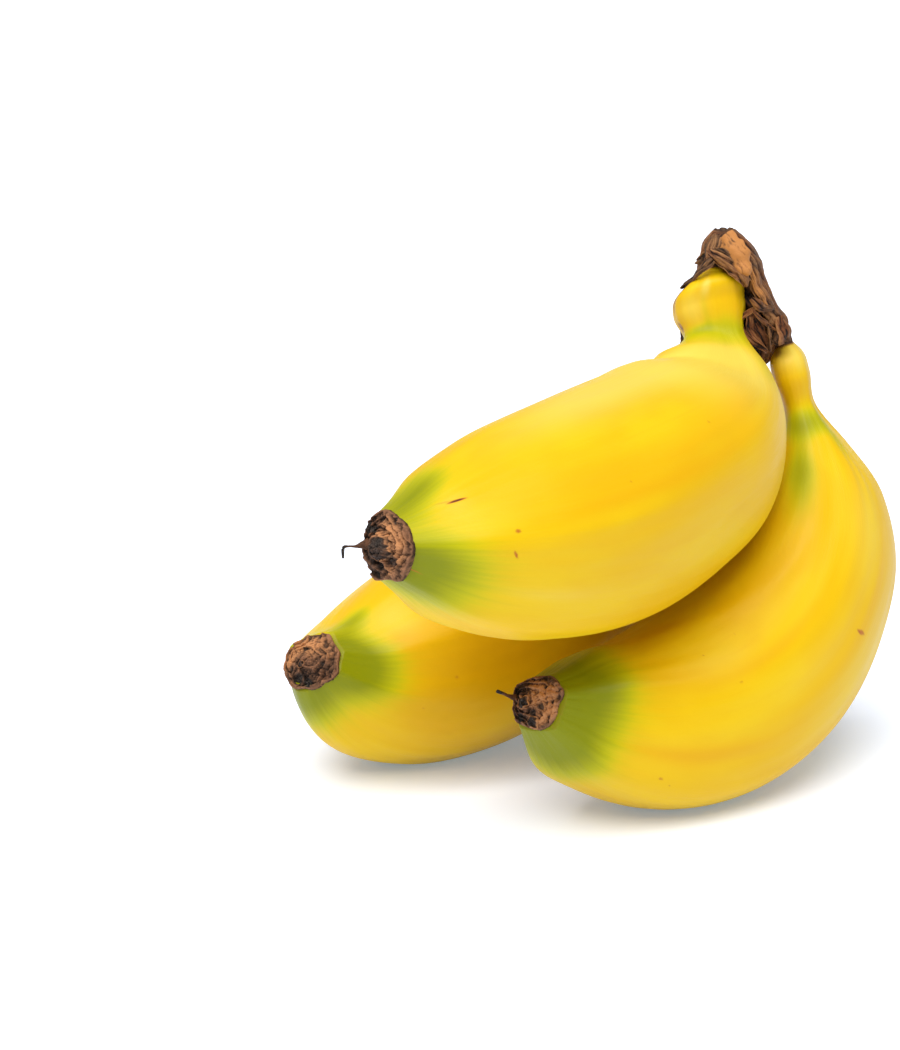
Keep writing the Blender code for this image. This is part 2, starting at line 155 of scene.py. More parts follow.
# Faint unevenness and the flutes of the blossom end: height, stretch along the finger and size.
UNEVEN = ((0.10, 0.35, 16), (0.03, 0.15, 4.5))
FLUTES, FLUTE_REACH = (0.035, 0.1, 3.0), 7
SMOOTH_BELOW = 12
MARK_GIRTH = 0.8
MM = 0.001
END_DOME, START_DOME, NUDGE_SPREAD = 0.5, 1.5, 0.03


def smooth_curve(places, values, at):
    """A smooth curve through the given values: Hermite pieces whose slopes come from their neighbours."""
    places = np.asarray(places, dtype=float)
    values = np.asarray(values, dtype=float)
    slopes = np.gradient(values, places, axis=0)
    piece = np.clip(np.searchsorted(places, at, side="right") - 1, 0, len(places) - 2)
    width = places[piece + 1] - places[piece]
    t = (at - places[piece]) / width
    if values.ndim == 2:
        t, width = t[:, None], width[:, None]
    rise = t * t * (3 - 2 * t)
    return (values[piece] * (1 - rise) + values[piece + 1] * rise
            + slopes[piece] * t * (1 - t) ** 2 * width + slopes[piece + 1] * t * t * (t - 1) * width)


def soft_step(along, middle, spread):
    """A logistic step centred on middle, less its value at the start of the finger."""
    return 1 / (1 + np.exp((middle - along) / spread)) - 1 / (1 + math.exp(middle / spread))


def finger_spine(finger, along):
    """Middle line of a finger, its direction and the two cross directions.

    The direction turns in one plane by the sum of a steady curl, a bend at the shoulder and one at the
    beak, and out of it by the nod. The points are the running sum of the directions times the length.
    """
    turn, rise = np.radians(finger["heading"])
    ahead = np.array([math.cos(rise) * math.cos(turn), math.cos(rise) * math.sin(turn), math.sin(rise)])
    level = np.array([-math.sin(turn), math.cos(turn), 0.0])
    roll = math.radians(finger["roll"])
    inward = math.cos(roll) * level + math.sin(roll) * np.cross(ahead, level)
    side = np.cross(ahead, inward)
    angle = np.radians(
        finger["curl"] * np.clip((along - CURL_FROM) / (1 - CURL_FROM), 0, 1)
        + finger["shoulder"] * soft_step(along, SHOULDER_PLACE, SHOULDER_SPREAD)
        + finger["beak"] * soft_step(along, BEAK_PLACE, BEAK_SPREAD))[:, None]
    nod = np.radians(finger["nod"] * soft_step(along, BEAK_PLACE, BEAK_SPREAD))[:, None]
    bent = np.cos(angle) * ahead + np.sin(angle) * inward
    across = np.cos(angle) * inward - np.sin(angle) * ahead
    direction = np.cos(nod) * bent + np.sin(nod) * side
    sideways = np.cos(nod) * side - np.sin(nod) * bent
    steps = np.diff(along)[:, None] * finger["length"] * (direction[1:] + direction[:-1]) / 2
    points = np.array(finger["start"]) + np.vstack([np.zeros(3), np.cumsum(steps, axis=0)])
    return points, direction, across, sideways


def ridge_relief(finger, along, around):
    """Height of the ridges over the mean of each ring: a rounded sine dips across each face between
    two ridges, deeper the wider the face, and the ridges drift from their shoulder to their beak angle."""
    shift = np.clip((along - RIDGE_SHOULDER) / (RIDGE_BEAK - RIDGE_SHOULDER), 0, 1)[:, None]
    at_shoulder, at_beak = np.array(finger["ridges"], dtype=float).T
    ridges = at_shoulder + shift * (at_beak - at_shoulder)
    widths = (np.roll(ridges, -1, axis=1) - ridges) % 360
    relief = np.zeros((len(along), len(around)))
    full = math.hypot(1, RIDGE_ROUND) - RIDGE_ROUND
    for ridge, width in zip(ridges.T[:, :, None], widths.T[:, :, None]):
        turned = (np.degrees(around)[None, :] - ridge) % 360
        dip = (np.hypot(np.sin(math.pi * turned / width), RIDGE_ROUND) - RIDGE_ROUND) / full
        relief = np.where(turned < width, 1 - 2 * dip * width / RIDGE_USUAL, relief)
    return relief - relief.mean(axis=1, keepdims=True)


def crumple(points, size, seed, waves=22):
    """A smooth random field: the sum of sines in seeded random directions, each about size long."""
    draw = np.random.default_rng(seed)
    ways = draw.normal(size=(waves, 3))
    ways *= (draw.uniform(0.6, 1.6, waves) * 2 * math.pi / size / np.linalg.norm(ways, axis=1))[:, None]
    phases = draw.uniform(0, 2 * math.pi, waves)
    total = np.zeros(points.shape[:-1])
    for way, phase in zip(ways, phases):
        total += np.sin(points @ way + phase)
    return total / math.sqrt(waves / 2)


def finger_radius(finger, along, around):
    """Radius of the peel: girth along the finger, times one plus the ridges and the stalk's oval, plus a
    bell that fills the hollow where the stalk bends into the body."""
    girth = smooth_curve(GIRTH_PLACES, GIRTH_SHARES, along)
    girth = girth * (1 + finger["blunt"] * np.exp(-((along - BLUNT_PLACE) / BLUNT_SPREAD) ** 2))
    ridge = smooth_curve(RIDGE_PLACES, RIDGE_SHARES, along)
    fade = np.clip((along - STALK_FROM) / (STALK_UNTIL - STALK_FROM), 0, 1)
    stalk = 1 - fade * fade * (3 - 2 * fade)
    girth = girth * (1 - (1 - finger["stalk"]) * stalk)
    flat = finger["flat"] * stalk
    oval = np.cos(2 * (around - math.radians(finger["flat_turn"])))
    inside = (np.degrees(around) + 180) % 360 - 180
    spread = np.where(along < FILLET_PLACE, FILLET_BEFORE, FILLET_AFTER)
    fillet = finger["fillet"] * np.exp(-((along - FILLET_PLACE) / spread) ** 2)[:, None] * (
        np.exp(-(inside / FILLET_WIDTH) ** 2)[None, :])
    relief = ridge[:, None] * ridge_relief(finger, along, around)
    return finger["radius"] * (girth[:, None] * (1 + relief + flat[:, None] * oval[None, :]) + fillet)


def peel_surface(finger, seed):
    """Rings of the peel: the spine plus the radius in each cross direction, with a faint unevenness.

    The nudge fades as a bell from the start. Past each end of the spine the rings shrink as a cosine and
    rise as a sine, which closes it with a dome. Points below the ground are lifted to it, which makes
    the flat spots.
    """
    even = np.linspace(0, 1, PEEL_RINGS)
    along = even - RING_CROWDING * np.sin(2 * math.pi * even)
    around = np.linspace(0, 2 * math.pi, PEEL_SIDES, endpoint=False)
    points, direction, across, side = finger_spine(finger, along)
    points = points + np.exp(-(along / NUDGE_SPREAD) ** 2)[:, None] * np.array(finger["nudge"])
    radius = finger_radius(finger, along, around)
    turn = around[None, :, None]
    ring = np.cos(turn) * across[:, None, :] + np.sin(turn) * side[:, None, :]
    unrolled = np.stack([
        np.broadcast_to((along * finger["length"])[:, None], radius.shape),
        finger["radius"] * np.broadcast_to(np.cos(around)[None, :], radius.shape),
        finger["radius"] * np.broadcast_to(np.sin(around)[None, :], radius.shape)], axis=2)
    uneven = sum(height * crumple(unrolled * (stretch, 1, 1), size, seed + number)
                 for number, (height, stretch, size) in enumerate(UNEVEN))
    height, stretch, size = FLUTES
    near_end = np.exp(-(1 - along) * finger["length"] / FLUTE_REACH)[:, None]
    flutes = height * near_end * crumple(unrolled * (stretch, 1, 1), size, seed + len(UNEVEN))
    radius = radius + (uneven + flutes) * np.clip(radius / SMOOTH_BELOW, 0, 1)
    grid = points[:, None, :] + radius[:, :, None] * ring
    close = np.linspace(0, 1, END_RINGS + 1)[1:, None, None] * math.pi / 2
    end = (points[-1] + np.cos(close) * radius[-1][None, :, None] * ring[-1][None]
           + np.sin(close) * END_DOME * direction[-1])[:-1]
    start = (points[0] + np.sin(close) * radius[0][None, :, None] * ring[0][None]
             - np.cos(close) * START_DOME * direction[0])[:-1]
    grid = np.concatenate([start, grid, end])
    grid[..., 2] = np.maximum(grid[..., 2], 0.0)
    unrolled = np.concatenate([
        np.broadcast_to(unrolled[:1], start.shape), unrolled, np.broadcast_to(unrolled[-1:], end.shape)])
    return grid, unrolled


def loft(name, grid, material, painted=None):
    """One closed piece from rings of points in millimetres: quads between rings and a fan at each end.

    Each named array in painted gives one value, or three, for every point, as an attribute of the mesh.
    """
    rings, sides = grid.shape[:2]
    number = np.arange(rings * sides).reshape(rings, sides)
    after = np.roll(number, -1, axis=1)
    quads = np.stack([number[:-1], after[:-1], after[1:], number[1:]], axis=2).reshape(-1, 4)
    first, last = rings * sides, rings * sides + 1
    start = np.stack([after[0], number[0], np.full(sides, first)], axis=1)
    end = np.stack([number[-1], after[-1], np.full(sides, last)], axis=1)
    points = np.concatenate([grid.reshape(-1, 3), grid[0].mean(axis=0)[None], grid[-1].mean(axis=0)[None]])
    mesh = bpy.data.meshes.new(name)
    mesh.from_pydata((points * MM).tolist(), [], quads.tolist() + start.tolist() + end.tolist())
    mesh.shade_smooth()
    for label, values in (painted or {}).items():
        flat = values.reshape(rings * sides, -1)
        flat = np.concatenate([flat, flat[:sides].mean(axis=0)[None], flat[-sides:].mean(axis=0)[None]])
        if flat.shape[1] == 3:
            mesh.attributes.new(label, "FLOAT_VECTOR", "POINT").data.foreach_set("vector", flat.ravel())
        else:
            mesh.attributes.new(label, "FLOAT", "POINT").data.foreach_set("value", flat.ravel())
    mesh.materials.append(material)
    piece = bpy.data.objects.new(name, mesh)
    bpy.context.scene.collection.objects.link(piece)
    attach(piece, "root")
    return piece


def patch(along, around, place, angle, spread_along, spread_round):
    """A soft patch on the peel: a bell over the place along times a bell over the angle round."""
    turned = (np.degrees(around) - angle + 180) % 360 - 180
    return np.exp(-((along - place) / spread_along) ** 2 - (turned / spread_round) ** 2)


def peel_masks(finger, unrolled):
    """Masks of the peel's colours: the soft patches of each kind, painted highlight and painted shade among
    them, crests of the ridges and dark marks.
    """
    along = unrolled[..., 0] / finger["length"]
    around = np.arctan2(unrolled[..., 2], unrolled[..., 1])
    green, pale, painted_shade, dry = (
        sum(strength * patch(along, around, *where) for *where, strength in finger[kind])
        for kind in ("greens", "pale_tan_and_highlights", "painted_shades", "dries"))
    crest = ridge_relief(finger, along[:, 0], around[0])
    mark = np.zeros(along.shape)
    for place, angle, half_length, half_width, lean, dark in finger["marks"]:
        ahead = (along - place) * finger["length"]
        turned = (np.degrees(around) - angle + 180) % 360 - 180
        turned = turned * math.pi / 180 * finger["radius"] * MARK_GIRTH
        lean = math.radians(lean)
        lengthwise = (ahead * math.cos(lean) + turned * math.sin(lean)) / half_length
        sidewise = (turned * math.cos(lean) - ahead * math.sin(lean)) / half_width
        mark = np.maximum(mark, dark * np.exp(-(lengthwise ** 2 + sidewise ** 2) ** 1.5))
    return {"unrolled": unrolled, "green": green, "pale": pale, "painted_shade": painted_shade, "dry": dry, "crest": crest,
            "mark": mark}


class Nodes:
    """The nodes of one material or group, made by short calls that return their output sockets."""

    def __init__(self, tree):
        self.tree = tree

    def add(self, kind, out=0, **settings):
        """A node of that kind; a setting named in_NAME fills the socket NAME, any other is a property."""
        node = self.tree.nodes.new(kind)
        for key, value in settings.items():
            if not key.startswith("in_"):
                setattr(node, key, value)
        for key, value in settings.items():
            if key.startswith("in_"):
                label = key[3:]
                socket = node.inputs[int(label) if label.isdigit() else label.replace("_", " ")]
                if isinstance(value, bpy.types.NodeSocket):
                    self.tree.links.new(value, socket)
                else:
                    socket.default_value = value
        return node.outputs[out]

    def read(self, name, out="Fac"):
        """An attribute of the mesh."""
        return self.add("ShaderNodeAttribute", out, attribute_name=name)

    def math(self, operation, first, second):
        """A sum on two values."""
        return self.add("ShaderNodeMath", operation=operation, in_0=first, in_1=second)

    def sway(self, value, pattern, amount):
        """The value plus that amount of the pattern's departure from one half."""
        return self.math("ADD", value, self.math("MULTIPLY", self.math("SUBTRACT", pattern, 0.5), amount))

    def ramp(self, value, low, high, least=0.0, most=1.0):
        """The value's smooth rise from least to most between low and high."""
        return self.add("ShaderNodeMapRange", interpolation_type="SMOOTHSTEP", in_Value=value,
                        in_From_Min=low, in_From_Max=high, in_To_Min=least, in_To_Max=most)

    def mix(self, share, first, second):
        """A mix of two colours."""
        node = self.tree.nodes.new("ShaderNodeMix")
        node.data_type = "RGBA"
        for socket, value in ((node.inputs[0], share), (node.inputs[6], first), (node.inputs[7], second)):
            if isinstance(value, bpy.types.NodeSocket):
                self.tree.links.new(value, socket)
            elif isinstance(value, tuple):
                socket.default_value = (*value, 1.0)
            else:
                socket.default_value = value
        return node.outputs[2]

    def noise(self, vector, scale, detail, rough):
        """A noise pattern on a vector."""
        return self.add("ShaderNodeTexNoise", in_Vector=vector, in_Scale=scale, in_Detail=detail,
                        in_Roughness=rough)

    def stretch(self, vector, scale):
        """The vector times a scale of its own for each axis."""
        return self.add("ShaderNodeMapping", in_Vector=vector, in_Scale=scale)

    def bump(self, height, distance, strength):
        """A relief of that height in metres."""
        return self.add("ShaderNodeBump", in_Height=height, in_Distance=distance, in_Strength=strength)


def new_material(name, roughness):
    """A material with its Principled shader, and the maker of its nodes."""
    material = bpy.data.materials.new(name)
    material.use_nodes = True
    shader = material.node_tree.nodes["Principled BSDF"]
    shader.inputs["Roughness"].default_value = roughness
    return material, shader, Nodes(material.node_tree)


EGG_YELLOW, LEMON_YELLOW, AMBER = (0.68, 0.405, 0.0006), (0.70, 0.455, 0.002), (0.66, 0.35, 0.0005)
BRIGHT_STREAK, SHADE_GOLD, PALE_TAN_AND_HIGHLIGHT_YELLOW = (0.71, 0.50, 0.02), (0.65, 0.33, 0.0003), (0.72, 0.545, 0.085)
CREST_YELLOW, LIME, LEAF_GREEN = (0.66, 0.36, 0.001), (0.44, 0.425, 0.002), (0.185, 0.205, 0.0006)
SCUFF_TAN, DRY_BROWN, DEAD_BROWN = (0.62, 0.33, 0.006), (0.30, 0.12, 0.02), (0.06, 0.025, 0.012)
SCAR_RED, SCAR_BLACK = (0.42, 0.13, 0.01), (0.10, 0.025, 0.006)

peel, peel_shader, n = new_material("waxy banana peel", 0.40)
peel_shader.inputs["Specular IOR Level"].default_value = 0.16
skin = n.read("unrolled", "Vector")
streak = n.noise(n.stretch(skin, (0.05, 0.75, 0.75)), 1.0, 4.0, 0.6)
fine_streak = n.noise(n.stretch(skin, (0.16, 3.2, 3.2)), 1.0, 3.0, 0.55)
cloud = n.noise(n.stretch(skin, (0.05, 0.09, 0.09)), 1.0, 2.0, 0.5)
blemish = n.noise(n.stretch(skin, (0.5, 0.9, 0.9)), 1.0, 5.0, 0.7)
pores = n.noise(skin, 4.0, 2.0, 0.5)
colour = n.mix(n.ramp(cloud, 0.35, 0.68), EGG_YELLOW, LEMON_YELLOW)
colour = n.mix(n.ramp(streak, 0.52, 0.8, 0.0, 0.25), colour, AMBER)
colour = n.mix(n.ramp(fine_streak, 0.5, 0.8, 0.0, 0.12), colour, BRIGHT_STREAK)
# Painted shade: deeper yellow where less light falls. Paler yellow: painted highlights and painted
# reflections, and the pale tan top of the right finger's neck.
colour = n.mix(n.ramp(n.read("painted_shade"), 0.05, 1.0, 0.0, 0.85), colour, SHADE_GOLD)
colour = n.mix(n.ramp(n.read("pale"), 0.05, 1.0, 0.0, 0.8), colour, PALE_TAN_AND_HIGHLIGHT_YELLOW)
colour = n.mix(n.ramp(n.read("crest"), 0.5, 1.0, 0.0, 0.22), colour, CREST_YELLOW)
streaky = n.sway(n.math("MULTIPLY", n.math("SUBTRACT", streak, 0.5), 0.34), fine_streak, 0.10)
from_stalk = n.ramp(n.add("ShaderNodeSeparateXYZ", in_Vector=skin), 20.0, 75.0, 0.2, 1.0)
# Green skin; two patches on the right finger's neck are part green skin and part painted shade.
green_share = n.math("ADD", n.read("green"), n.math("MULTIPLY", streaky, from_stalk))
colour = n.mix(n.ramp(green_share, 0.04, 0.80, 0.0, 0.92), colour, LIME)
colour = n.mix(n.ramp(green_share, 0.38, 1.28, 0.0, 0.95), colour, LEAF_GREEN)
colour = n.mix(n.ramp(blemish, 0.66, 0.80, 0.0, 0.3), colour, SCUFF_TAN)
dry_share = n.sway(n.read("dry"), fine_streak, 0.5)
colour = n.mix(n.ramp(dry_share, 0.2, 0.5, 0.0, 0.8), colour, DRY_BROWN)
colour = n.mix(n.ramp(dry_share, 0.45, 0.75), colour, DEAD_BROWN)
mark = n.read("mark")
colour = n.mix(n.ramp(mark, 0.1, 0.6), colour, SCAR_RED)
colour = n.mix(n.ramp(mark, 0.55, 0.9), colour, SCAR_BLACK)
n.tree.links.new(colour, peel_shader.inputs["Base Color"])
n.tree.links.new(n.ramp(fine_streak, 0.2, 0.8, 0.36, 0.50), peel_shader.inputs["Roughness"])
relief = n.math("ADD", n.math("MULTIPLY", fine_streak, 0.6), n.math("MULTIPLY", pores, 0.4))
n.tree.links.new(n.bump(relief, 0.00010, 0.5), peel_shader.inputs["Normal"])

for index, (name, finger) in enumerate(FINGERS.items()):
    grid, unrolled = peel_surface(finger, 40 + 10 * index)
    piece = loft("peel_" + name, grid, peel, peel_masks(finger, unrolled))
    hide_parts("finger_" + name)

# Dried flower remains on the three blossom ends. Each is a rosette of dead brown scales, shrunk round
# a hard knob, grown fast to the peel. Two still carry the dried style, a thin brittle thread.

# "centre" and "lean": where the collar and the folded scales in it are centred, across and sideways.
# "buttons": hard knobs and hollows, as place across and sideways, radius and rise in millimetres, and
# how charred they are. "pads": patches of the scales, as place, radius and tan from 1 to a dark -1.
# "spiral": turns that the scales make. "style": root across, sideways and ahead, then the thread's
# points ahead, sideways and down from it, and its radii.
FLOWERS = {
    "upper": {
        "radius": 5.4, "spiral": 0, "centre": (-0.2, -0.5), "lean": (0.1, 0.9),
        "buttons": (
            (-0.5, 0.0, 1.9, 1.1, 0.85), (3.4, 2.4, 1.1, 0.3, 0.75), (1.6, 2.9, 0.8, -0.5, 1.0),
            (3.0, 0.9, 0.7, -0.5, 0.95), (-2.6, -1.7, 1.1, -0.45, 0.75), (-2.9, 1.0, 0.9, -0.6, 1.0),
            (3.0, -3.6, 0.55, -0.5, 0.9), (4.1, -1.0, 0.45, -0.35, 0.8), (-3.9, 2.6, 0.6, -0.4, 0.8),
        ),
        "pads": (
            (1.6, -2.6, 1.6, 0.6), (-0.6, -4.0, 1.2, 0.6), (-3.0, -3.2, 1.1, 0.5), (-4.2, -0.6, 1.0, 0.4),
            (3.4, -1.8, 1.0, 0.3), (0.4, -1.6, 0.9, -0.5), (2.4, 2.6, 1.9, -0.9), (0.6, 3.8, 1.6, -0.8),
            (4.2, 1.4, 1.2, -0.5), (-2.2, 2.6, 1.2, -0.6),
        ),
        "style_root": (1.2, 3.6, 0.9),
        "style": (
            (0, 0, 0), (0.9, 0.5, 0.0), (1.9, 0.9, 0.1), (3.0, 1.2, 0.0), (4.0, 1.4, 0.2),
            (4.1, 1.4, 1.9),
        ),
        "style_radii": (1.05, 0.60, 0.24, 0.17, 0.27, 0.20),
    },
    "right": {
        "radius": 4.55, "spiral": 1, "centre": (0.0, 0.45), "lean": (-0.3, 1.4),
        "buttons": (
            (-0.3, 2.3, 0.95, 0.35, 1.0), (-3.4, 0.2, 0.85, 0.35, 0.95), (0.2, -2.9, 0.34, -0.4, 1.0),
            (2.6, -1.2, 0.36, -0.4, 1.0), (-0.8, -1.0, 0.5, -0.35, 0.85), (-2.6, 2.9, 0.8, -0.5, 1.0),
            (-2.3, -2.6, 0.34, -0.35, 1.0), (-1.9, 0.2, 0.6, -0.3, 0.8),
        ),
        "pads": (
            (1.6, -1.8, 1.5, 1.0), (-1.2, -2.6, 1.3, 0.95), (2.6, 0.8, 1.3, 0.8), (0.9, 1.0, 0.9, 0.45),
            (1.4, 4.4, 1.2, -0.8), (-1.6, 4.0, 1.2, -0.6), (-2.9, -1.4, 0.9, 0.6), (0.0, 0.2, 0.8, 0.4),
        ),
        "style_root": (0.6, 4.4, 0.7),
        "style": (
            (0, 0, 0), (0.9, 0.4, 0.0), (1.9, 0.7, 0.0), (2.8, 0.9, -0.1), (3.6, 1.0, -0.1),
            (4.4, 1.1, -0.1),
        ),
        "style_radii": (0.70, 0.45, 0.27, 0.25, 0.29, 0.31),
    },
    "left": {
        "radius": 5.0, "spiral": 1, "centre": (-0.3, -0.35), "lean": (-1.0, 0.4),
        "buttons": (
            (-1.7, 0.1, 0.55, 0.25, 0.55), (-3.9, -0.8, 1.0, -0.8, 1.0), (-3.3, -2.6, 0.8, -0.6, 1.0),
            (0.6, 1.9, 0.4, -0.4, 0.9), (-3.4, 1.4, 0.6, -0.4, 0.8), (0.8, -2.8, 0.4, -0.35, 0.85),
        ),
        "pads": (
            (0.6, 3.0, 1.6, 0.9), (-2.6, 3.0, 1.3, 0.8), (2.8, 1.0, 1.4, 0.6), (2.8, -1.8, 1.3, 0.3),
            (-1.6, 0.0, 1.6, -0.25), (0.2, -3.4, 1.2, -0.5), (-2.8, -2.0, 1.0, -0.8),
            (1.0, 0.4, 1.1, 0.4),
        ),
    },
}
# Share of the way in from the edge, share of the radius there, and height above the end of the peel.
FLOWER_PROFILE = (
    (0.0, 0.90, -0.9), (0.06, 0.985, -0.3), (0.12, 1.03, 0.15), (0.17, 1.03, 0.55), (0.22, 0.97, 0.75),
    (0.32, 0.86, 0.75), (0.5, 0.66, 1.2), (0.7, 0.38, 1.65), (0.85, 0.2, 1.9), (1.0, 0.02, 1.85),
)
FLOWER_RINGS, FLOWER_SIDES = 150, 240
SCALE_LAYERS, LAYER_WANDER, LAYER_SIZE = 3.3, 0.38, 5.0
LIP_RISE, LIP_DROP = 1.6, 0.16
LIP_HEIGHT, CREASE_HEIGHT, GRAIN_HEIGHT = 0.70, 0.36, 0.15
CREASE_SIZE, GRAIN_SIZE, CREASE_MEAN = 1.9, 0.8, 0.35
CORNERS, OUTLINE_WANDER, OUTLINE_SIZE = 0.055, 0.035, 1.1
KNOB_RING, KNOB_RING_WIDTH, KNOB_RING_HEIGHT = 1.12, 0.10, 0.14
KNOB_MOAT, KNOB_MOAT_WIDTH, KNOB_MOAT_DEPTH = 1.34, 0.13, 0.26


def fine_end(finger):
    """The middle of the blossom end and the three directions of the finger there."""
    points, direction, across, side = finger_spine(finger, np.linspace(0, 1, 200))
    return points[-1], direction[-1], across[-1], side[-1]


def folds(points, size, seed):
    """Sharp creases between rounded pads: a crumpled field without its sign, from 0 to 1."""
    return np.minimum(np.abs(crumple(points, size, seed)), 1.4) / 1.4


def flower_surface(finger, flower, seed):
    """Rings of the rosette, from under the peel over the collar to the middle.

    Radius and height follow the profile. Overlapping scales add a sawtooth that rises to a lip and drops,
    counted inwards and, for a spiral, round the middle. Creases, knobs and hollows come on top.
    """
    middle, ahead, across, side = fine_end(finger)
    share = np.linspace(0, 1, FLOWER_RINGS)
    around = np.linspace(0, 2 * math.pi, FLOWER_SIDES, endpoint=False)
    profile = smooth_curve([row[0] for row in FLOWER_PROFILE], [row[1:] for row in FLOWER_PROFILE], share)
    reach, height = profile[:, 0][:, None], profile[:, 1][:, None]
    inner = np.clip((share - 0.2) / 0.8, 0, 1)[:, None]
    compass = np.stack([np.cos(around), np.sin(around), 0 * around], axis=1)
    corners = ridge_relief(finger, np.array([1.0]), around)[0]
    wander = OUTLINE_WANDER * crumple(compass, OUTLINE_SIZE, seed)
    outline = 1 + (CORNERS * corners + wander) * (1 - inner) ** 0.7
    shift_x, shift_y = (at + inner * way for at, way in zip(flower["centre"], flower["lean"]))
    flat_x = flower["radius"] * reach * outline * np.cos(around) + shift_x
    flat_y = flower["radius"] * reach * outline * np.sin(around) + shift_y
    place = np.stack([flat_x, flat_y, np.broadcast_to(share[:, None] * 2, flat_x.shape)], axis=2)
    layer = (inner * SCALE_LAYERS + flower["spiral"] * around[None, :] / (2 * math.pi)
             + LAYER_WANDER * crumple(place, LAYER_SIZE, seed + 1))
    saw = layer - np.floor(layer)
    lip = saw ** LIP_RISE * np.clip((1 - saw) / LIP_DROP, 0, 1)
    crease = folds(place, CREASE_SIZE, seed + 2)
    grain = folds(place, GRAIN_SIZE, seed + 3)
    edge = np.clip(share / 0.1, 0, 1)[:, None]
    detail = (LIP_HEIGHT * lip * (1 - 0.45 * inner) + CREASE_HEIGHT * (crease - CREASE_MEAN)
              + GRAIN_HEIGHT * (grain - CREASE_MEAN))
    height = height + edge * detail
    char_and_hollow_shade = np.zeros(flat_x.shape)
    ring = np.zeros(flat_x.shape)
    for x, y, size, rise, dark in flower["buttons"]:
        apart = np.hypot(flat_x - x, flat_y - y) / (size * (1 + 0.12 * crumple(place, 1.6, seed + 4)))
        circle = np.exp(-((apart - KNOB_RING) / KNOB_RING_WIDTH) ** 2) * (rise > 0.2)
        moat = KNOB_MOAT_DEPTH * size * np.exp(-((apart - KNOB_MOAT) / KNOB_MOAT_WIDTH) ** 2)
        height = height + rise * np.exp(-apart ** 4) + KNOB_RING_HEIGHT * circle - moat
        char_and_hollow_shade = np.maximum(char_and_hollow_shade, dark * np.exp(-(apart / 0.97) ** 10))
        ring = np.maximum(ring, circle)
    grid = (middle + flat_x[..., None] * across + flat_y[..., None] * side + height[..., None] * ahead)
    tone = 0.30 + sum(tan * np.exp(-(np.hypot(flat_x - x, flat_y - y) / size) ** 2)
                      for x, y, size, tan in flower["pads"])
    ridge = np.clip(0.62 * lip + 0.42 * crease + 0.30 * grain - 0.08 + 0.45 * ring, 0, 1)
    rim = np.broadcast_to(0.7 * np.exp(-((share - 0.18) / 0.03) ** 2)[:, None], flat_x.shape)
    return grid, {"fold": ridge + 0.35 * np.clip(tone - 0.3, -1, 1), "char_and_hollow_shade": char_and_hollow_shade, "rim": rim,
                  "tone": np.clip(tone + 0.5 * ring, 0, 1), "red": 0.25 + 0 * tone}


THREAD_RINGS, THREAD_SIDES = 60, 20


def tube(path, radii):
    """Rings of a thread: a smooth curve through the path's points, with circles across it whose radius
    follows a smooth curve through the radii."""
    places = np.linspace(0, 1, len(path))
    along = np.linspace(0, 1, THREAD_RINGS)
    points = smooth_curve(places, path, along)
    radius = smooth_curve(places, radii, along)[:, None, None]
    ahead = np.gradient(points, axis=0)
    ahead /= np.linalg.norm(ahead, axis=1, keepdims=True)
    first = np.cross(ahead, (0.3, 0.2, 0.93))
    first /= np.linalg.norm(first, axis=1, keepdims=True)
    second = np.cross(ahead, first)
    around = np.linspace(0, 2 * math.pi, THREAD_SIDES, endpoint=False)[None, :, None]
    return points[:, None] + radius * (np.cos(around) * first[:, None] + np.sin(around) * second[:, None])


FIBRE_SCALES, FIBRE_DETAILS, FIBRE_ROUGHNESS = (2600.0, 620.0, 230.0), (4.0, 3.0, 2.0), 0.62
CHAR_AND_SHADE_BLACK, CHAR_AND_SHADE_GREY = (0.013, 0.009, 0.007), (0.075, 0.060, 0.050)


def fibre_group():
    """Dry plant fibre on Object coordinates: fine threads, and small and large stains of the skin."""
    group = bpy.data.node_groups.new("dry fibre", "ShaderNodeTree")
    group.interface.new_socket("Size", in_out="INPUT", socket_type="NodeSocketFloat")
    for label in ("Threads", "Blotches", "Stains"):
        group.interface.new_socket(label, in_out="OUTPUT", socket_type="NodeSocketFloat")
    g = Nodes(group)
    size = group.nodes.new("NodeGroupInput").outputs[0]
    outlet = group.nodes.new("NodeGroupOutput")
    place = g.add("ShaderNodeTexCoord", "Object")
    for socket, scale, detail in zip(outlet.inputs, FIBRE_SCALES, FIBRE_DETAILS):
        group.links.new(g.noise(place, g.math("MULTIPLY", size, scale), detail, FIBRE_ROUGHNESS), socket)
    return group


